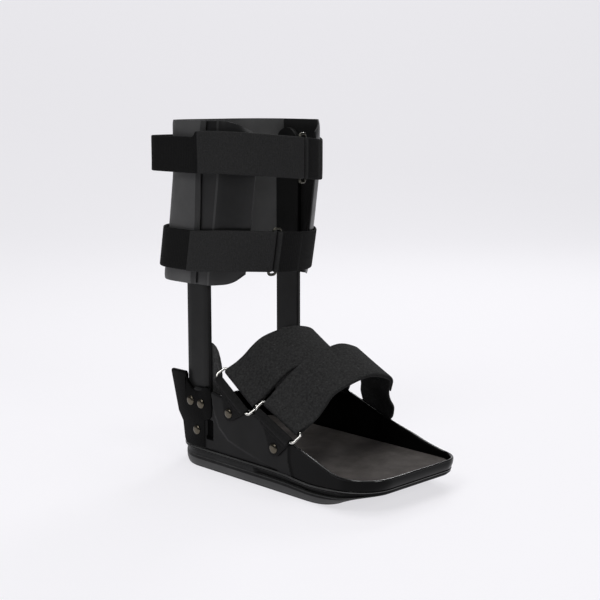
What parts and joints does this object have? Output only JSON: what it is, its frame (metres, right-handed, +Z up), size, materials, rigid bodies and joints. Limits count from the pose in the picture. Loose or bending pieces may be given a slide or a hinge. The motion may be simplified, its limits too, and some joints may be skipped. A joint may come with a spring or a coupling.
{
  "type": "medical walking boot",
  "caption": "Walker brace with a rocker sole, rigid side uprights, calf shells and loop-through straps that hold the foot and lower leg.",
  "frame": {"origin": "centre of the whole boot's box, on the floor", "axes": "+Z up, -Y towards the toe, +X towards the wearer's left"},
  "size_m": [0.1726, 0.3422, 0.386],
  "materials": {
    "sole_plastic": "glossy black",
    "outsole_rubber": "satin black",
    "insole_foam": "matte dark grey foam",
    "upright_metal": "satin black",
    "pad_fabric": "fuzzy black",
    "shell_plastic": "satin black",
    "panel_plastic": "matte grey",
    "calf_webbing": "smooth weave",
    "foot_pile": "loop pile",
    "tab_webbing": "dense weave",
    "ring_steel": "polished",
    "rivet_nickel": "nickel plated"
  },
  "bodies": {
    "root": {"sole_shell": "sole_plastic", "outsole": "outsole_rubber", "insole": "insole_foam", "upright_right": "upright_metal", "upright_left": "upright_metal", "ankle_pad_right": "pad_fabric", "ankle_pad_left": "pad_fabric", "calf_shell_right": "shell_plastic", "calf_shell_left": "shell_plastic", "rear_panel": "panel_plastic", "upper_strap": "calf_webbing", "lower_strap": "calf_webbing", "calf_ring_upper": "ring_steel", "calf_ring_lower": "ring_steel", "instep_strap": "foot_pile", "forefoot_strap": "foot_pile", "foot_ring_rear": "ring_steel", "foot_ring_front": "ring_steel", "ring_tab_rear": "tab_webbing", "ring_tab_front": "tab_webbing", "rivet_right_1": "rivet_nickel", "rivet_right_2": "rivet_nickel", "rivet_right_3": "rivet_nickel", "rivet_right_4": "rivet_nickel", "rivet_right_5": "rivet_nickel", "rivet_left_1": "rivet_nickel", "rivet_left_2": "rivet_nickel", "rivet_left_3": "rivet_nickel", "rivet_left_4": "rivet_nickel", "rivet_left_5": "rivet_nickel"}
  },
  "joints": []
}
